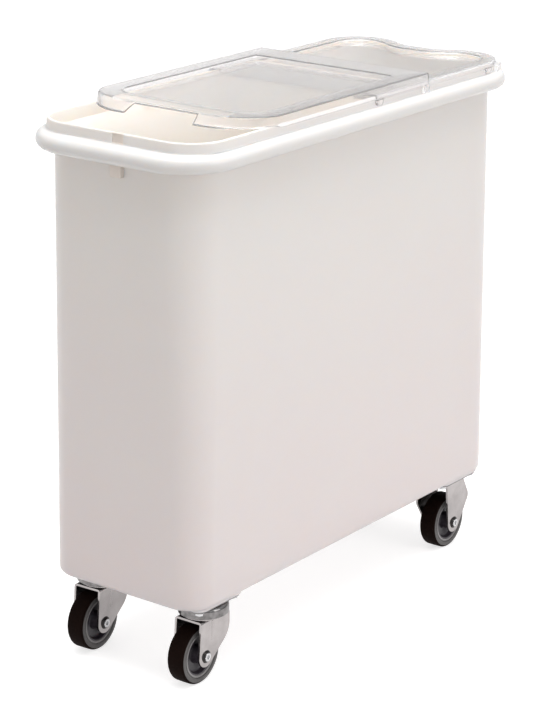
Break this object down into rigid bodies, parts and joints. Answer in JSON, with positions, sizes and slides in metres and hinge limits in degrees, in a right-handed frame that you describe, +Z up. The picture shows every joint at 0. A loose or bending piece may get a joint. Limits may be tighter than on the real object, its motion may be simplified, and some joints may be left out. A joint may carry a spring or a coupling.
{
  "type": "mobile ingredient bin",
  "caption": "Tall narrow moulded bin on casters, with a rounded rim bead and a two-piece clear lid whose front half slides back over the rear half to open the bin.",
  "frame": {"origin": "on the floor under the middle of the tub, at the bottom centre of the bounding box", "axes": "+X across the narrow width, to the right seen from the front; +Y along the length, from the sliding front lid to the rear; +Z up"},
  "size_m": [0.2996, 0.7476, 0.7422],
  "materials": {
    "tub_plastic": "satin white moulded polyethylene",
    "clear_plastic": "clear moulded polycarbonate, slightly warm",
    "plated_steel": "bright zinc plated pressed steel",
    "bolt_steel": "bright steel",
    "hub_plastic": "dark grey moulded nylon",
    "tyre_rubber": "matt dark brown-black rubber"
  },
  "bodies": {
    "bin": {"tub": "tub_plastic", "front_right_caster_plate": "plated_steel", "front_right_upper_race": "plated_steel", "front_right_kingpin": "bolt_steel", "front_left_caster_plate": "plated_steel", "front_left_upper_race": "plated_steel", "front_left_kingpin": "bolt_steel", "rear_right_caster_plate": "plated_steel", "rear_right_fork": "plated_steel", "rear_right_axle_bolt": "bolt_steel", "rear_right_axle_nut": "bolt_steel", "rear_right_axle_sleeve": "bolt_steel", "rear_left_caster_plate": "plated_steel", "rear_left_fork": "plated_steel", "rear_left_axle_bolt": "bolt_steel", "rear_left_axle_nut": "bolt_steel", "rear_left_axle_sleeve": "bolt_steel"},
    "rear_lid": {"rear_lid": "clear_plastic"},
    "front_lid": {"front_lid": "clear_plastic"},
    "front_right_swivel": {"front_right_ball_ring": "bolt_steel", "front_right_fork": "plated_steel", "front_right_axle_bolt": "bolt_steel", "front_right_axle_nut": "bolt_steel", "front_right_axle_sleeve": "bolt_steel"},
    "front_right_wheel": {"front_right_wheel_hub": "hub_plastic", "front_right_tyre": "tyre_rubber"},
    "front_left_swivel": {"front_left_ball_ring": "bolt_steel", "front_left_fork": "plated_steel", "front_left_axle_bolt": "bolt_steel", "front_left_axle_nut": "bolt_steel", "front_left_axle_sleeve": "bolt_steel"},
    "front_left_wheel": {"front_left_wheel_hub": "hub_plastic", "front_left_tyre": "tyre_rubber"},
    "rear_right_wheel": {"rear_right_wheel_hub": "hub_plastic", "rear_right_tyre": "tyre_rubber"},
    "rear_left_wheel": {"rear_left_wheel_hub": "hub_plastic", "rear_left_tyre": "tyre_rubber"}
  },
  "joints": [
    {"name": "rear_lid_lift", "type": "slide", "parent": "bin", "child": "rear_lid", "axis": [0, 0, 1], "range_m": [0, 0.12]},
    {"name": "front_lid_slide", "type": "slide", "parent": "rear_lid", "child": "front_lid", "axis": [0, 1, 0], "range_m": [-0.09, 0.14]},
    {"name": "front_right_caster_swivel", "type": "hinge", "parent": "bin", "child": "front_right_swivel", "pos_m": [0.087, -0.283, 0.0979], "axis": [0, 0, 1], "continuous": true},
    {"name": "front_right_wheel_spin", "type": "hinge", "parent": "front_right_swivel", "child": "front_right_wheel", "pos_m": [0.08746, -0.305, 0.04], "axis": [0.9998, 0.0209, 0], "continuous": true},
    {"name": "front_left_caster_swivel", "type": "hinge", "parent": "bin", "child": "front_left_swivel", "pos_m": [-0.087, -0.283, 0.0979], "axis": [0, 0, 1], "continuous": true},
    {"name": "front_left_wheel_spin", "type": "hinge", "parent": "front_left_swivel", "child": "front_left_wheel", "pos_m": [-0.08585, -0.30497, 0.04], "axis": [0.9986, 0.0523, 0], "continuous": true},
    {"name": "rear_right_wheel_spin", "type": "hinge", "parent": "bin", "child": "rear_right_wheel", "pos_m": [0.087, 0.2828, 0.04], "axis": [1, 0, 0], "continuous": true},
    {"name": "rear_left_wheel_spin", "type": "hinge", "parent": "bin", "child": "rear_left_wheel", "pos_m": [-0.087, 0.2828, 0.04], "axis": [1, 0, 0], "continuous": true}
  ]
}
